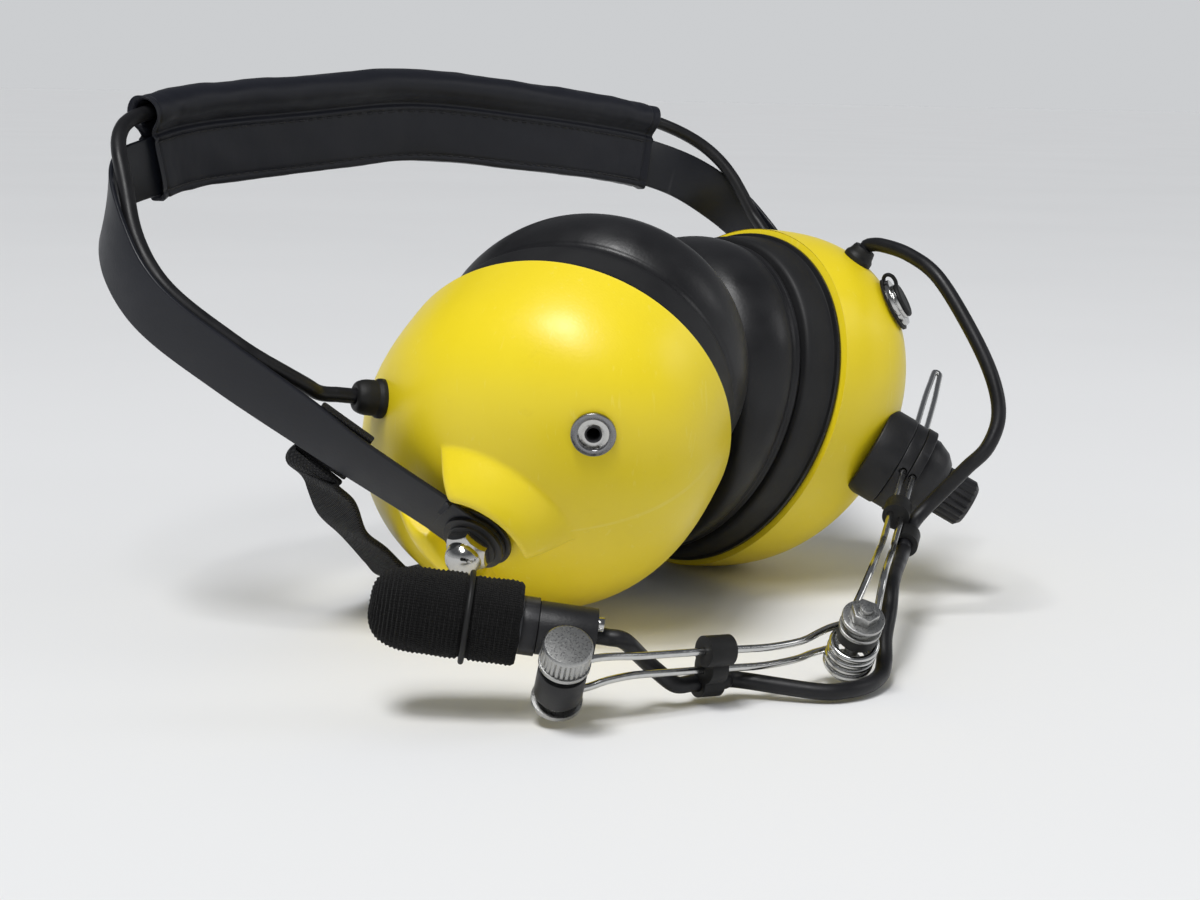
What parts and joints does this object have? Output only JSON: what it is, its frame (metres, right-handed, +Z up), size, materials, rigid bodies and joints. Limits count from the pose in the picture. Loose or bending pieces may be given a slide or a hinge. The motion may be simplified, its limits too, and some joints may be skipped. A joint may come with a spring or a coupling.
{
  "type": "aviation headset",
  "caption": "Behind-the-neck headset with two sealed oval ear cups, spring neck band, overhead strap and a jointed wire microphone boom.",
  "frame": {"origin": "bottom centre of the bounding box, on the table that the headset lies on", "axes": "+X through the ear cups to the wearer's cup with the boom, +Y towards the neck sleeve, +Z up"},
  "size_m": [0.2408, 0.1884, 0.1317],
  "materials": {
    "shell": "gloss moulded yellow",
    "black_plastic": "satin moulded black",
    "grey_plastic": "matte dark grey",
    "cushion_vinyl": "smooth black vinyl over foam",
    "foam": "open black foam",
    "sleeve_fabric": "black coated cloth with stitched seams",
    "webbing": "woven black webbing",
    "muff_fabric": "ribbed black windscreen cloth",
    "cable_rubber": "smooth black jacket",
    "black_rubber": "soft black rubber",
    "band_steel": "black painted spring steel",
    "bright_metal": "bright plated",
    "satin_metal": "satin stainless"
  },
  "bodies": {
    "headband": {"band_spring": "band_steel", "neck_sleeve": "sleeve_fabric", "crossover_cable": "cable_rubber", "overhead_strap": "webbing", "left_pivot_stud": "bright_metal", "left_pivot_washer": "black_plastic", "left_acorn_nut": "bright_metal", "right_pivot_stud": "bright_metal", "right_pivot_washer": "black_plastic", "right_acorn_nut": "bright_metal"},
    "left_cup": {"left_ear_shell": "shell", "left_seal_plate": "black_plastic", "left_ear_cushion": "cushion_vinyl", "left_foam_liner": "foam", "left_speaker": "grey_plastic", "left_pivot_socket": "grey_plastic", "left_cable_gland": "black_rubber", "audio_jack": "bright_metal", "audio_jack_nut": "bright_metal", "left_cable_drop": "cable_rubber"},
    "right_cup": {"right_ear_shell": "shell", "right_seal_plate": "black_plastic", "right_ear_cushion": "cushion_vinyl", "right_foam_liner": "foam", "right_speaker": "grey_plastic", "right_pivot_socket": "grey_plastic", "right_cable_gland": "black_rubber", "mic_cable_gland": "black_rubber", "aux_socket": "bright_metal", "aux_socket_nut": "bright_metal", "aux_dust_cap": "black_rubber", "boom_base": "black_plastic", "boom_bolt": "bright_metal", "right_cable_drop": "cable_rubber", "mic_cable_loop": "cable_rubber"},
    "boom_clamp": {"boom_clamp_disc": "black_plastic", "boom_clamp_cap": "black_plastic", "mic_cable_upper": "cable_rubber"},
    "boom_knob": {"boom_knob": "black_plastic"},
    "boom_arm": {"upper_boom_wire": "bright_metal", "cable_clip_upper": "black_rubber", "elbow_screw": "bright_metal", "elbow_nut": "satin_metal", "elbow_washers": "satin_metal", "elbow_rubber_washer": "black_rubber", "mic_cable_lower": "cable_rubber"},
    "lower_arm": {"lower_boom_wire": "bright_metal", "cable_clip_lower": "black_rubber", "mic_joint_screw": "bright_metal", "mic_cable_end": "cable_rubber"},
    "mic_thumb_nut": {"mic_thumb_nut": "satin_metal"},
    "mic_mount": {"mic_joint_block": "black_plastic", "barrel_screw": "bright_metal"},
    "mic_head": {"mic_capsule": "grey_plastic", "mic_collar": "black_plastic", "mic_muff": "muff_fabric", "muff_ring": "black_rubber"}
  },
  "joints": [
    {"name": "left_cup_pivot", "type": "hinge", "parent": "headband", "child": "left_cup", "pos_m": [-0.05603, -0.00173, 0.03072], "axis": [-0.971, 0.0186, -0.2385], "range_deg": [-8, 8], "deforming": ["left_cable_drop"]},
    {"name": "right_cup_pivot", "type": "hinge", "parent": "headband", "child": "right_cup", "pos_m": [0.07321, 0.00259, 0.04267], "axis": [0.971, -0.0186, 0.2385], "range_deg": [-8, 8], "deforming": ["right_cable_drop"]},
    {"name": "boom_swing", "type": "hinge", "parent": "right_cup", "child": "boom_clamp", "pos_m": [0.0522, -0.03531, 0.03627], "axis": [0.5061, -0.7164, -0.4802], "range_deg": [-60, 30], "deforming": ["mic_cable_loop"]},
    {"name": "boom_knob_turn", "type": "hinge", "parent": "boom_clamp", "child": "boom_knob", "pos_m": [0.0522, -0.03531, 0.03627], "axis": [0.5061, -0.7164, -0.4802], "continuous": true},
    {"name": "boom_reach", "type": "slide", "parent": "boom_clamp", "child": "boom_arm", "axis": [-0.8612, -0.4506, -0.2354], "range_m": [-0.012, 0.03], "deforming": ["mic_cable_upper"]},
    {"name": "elbow_bend", "type": "hinge", "parent": "boom_arm", "child": "lower_arm", "pos_m": [-0.0282, -0.0842, 0.01], "axis": [-0.3623, -0.4934, 0.7907], "range_deg": [-8, 90], "deforming": ["mic_cable_lower"]},
    {"name": "mic_tilt", "type": "hinge", "parent": "lower_arm", "child": "mic_mount", "pos_m": [-0.0967, -0.0609, 0.0109], "axis": [-0.3623, -0.4934, 0.7907], "range_deg": [-8, 80], "deforming": ["mic_cable_end"]},
    {"name": "thumb_nut_turn", "type": "hinge", "parent": "lower_arm", "child": "mic_thumb_nut", "pos_m": [-0.0967, -0.0609, 0.0109], "axis": [-0.3623, -0.4934, 0.7907], "continuous": true},
    {"name": "mic_swivel", "type": "hinge", "parent": "mic_mount", "child": "mic_head", "pos_m": [-0.09043, -0.05639, 0.01861], "axis": [-0.6829, 0.7179, 0.135], "continuous": true}
  ]
}
